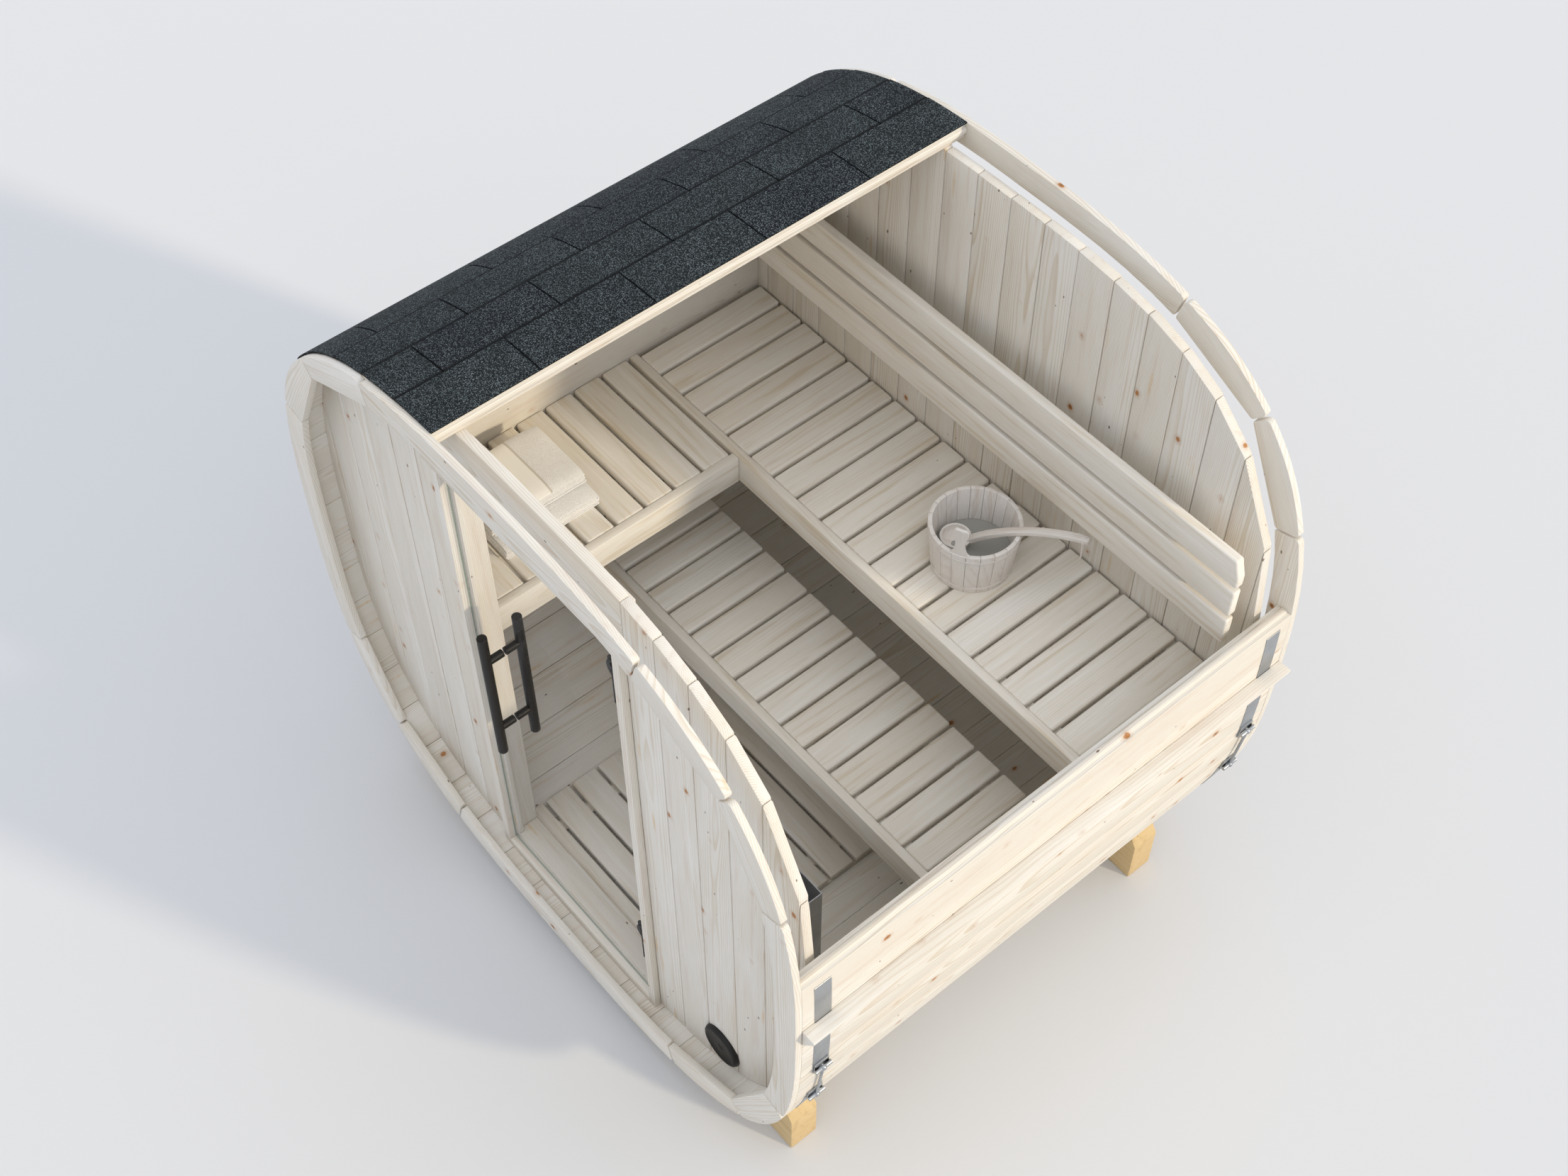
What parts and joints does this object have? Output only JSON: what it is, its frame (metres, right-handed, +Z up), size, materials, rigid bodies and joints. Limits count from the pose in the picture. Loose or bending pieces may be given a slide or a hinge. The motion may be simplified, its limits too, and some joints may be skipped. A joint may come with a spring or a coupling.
{
  "type": "barrel sauna",
  "caption": "Rounded-square timber barrel sauna on cradles, with a glass door, slatted benches, a wall heater and part of the roof side left open.",
  "frame": {"origin": "on the ground at the middle of the plan", "axes": "+X to the right of someone facing the door, +Y from the door to the back wall, +Z up"},
  "size_m": [2.1306, 1.64, 2.0515],
  "materials": {
    "spruce": "planed pale spruce",
    "bench_wood": "smooth sanded",
    "cradle_wood": "planed, ochre stain",
    "shingle": "mineral granules on bitumen felt",
    "strap_steel": "satin stainless",
    "dark_metal": "satin dark bronze",
    "clear_glass": "clear toughened",
    "heater_steel": "satin",
    "bucket_wood": "smooth pale aspen",
    "towel": "white terry"
  },
  "bodies": {
    "cabin": {"cradle_front": "cradle_wood", "cradle_back": "cradle_wood", "floor_staves": "spruce", "right_corner_staves": "spruce", "right_side_staves": "spruce", "left_corner_staves": "spruce", "left_side_staves": "spruce", "left_shoulder_staves": "spruce", "roof_staves": "spruce", "roof_shingles": "shingle", "front_wall_left": "spruce", "front_wall_right": "spruce", "front_wall_header": "spruce", "back_wall": "spruce", "front_ring": "spruce", "back_ring": "spruce", "batten_left": "spruce", "batten_right": "spruce", "strap_front": "strap_steel", "strap_back": "strap_steel", "strap_tensioners": "strap_steel", "door_jamb_left": "spruce", "door_jamb_right": "spruce", "door_head": "spruce", "door_sill": "spruce", "hinge_plates": "dark_metal", "vent_cover": "dark_metal", "upper_bench_beam": "bench_wood", "upper_bench_slats": "bench_wood", "left_bench_beam": "bench_wood", "left_bench_slats": "bench_wood", "lower_bench_beam": "bench_wood", "lower_bench_slats": "bench_wood", "bench_ledgers": "bench_wood", "backrest_rails": "bench_wood", "backrest_brackets": "bench_wood", "duckboard": "bench_wood", "heater_case": "heater_steel", "bucket": "bucket_wood", "ladle": "bucket_wood", "towel_lower": "towel", "towel_upper": "towel"},
    "door": {"door_glass": "clear_glass", "door_handle": "dark_metal", "door_hinges": "dark_metal"}
  },
  "joints": [
    {"name": "door_hinge", "type": "hinge", "parent": "cabin", "child": "door", "pos_m": [0.3235, -0.7515, 1.06], "axis": [0, 0, 1], "range_deg": [0, 100]}
  ]
}
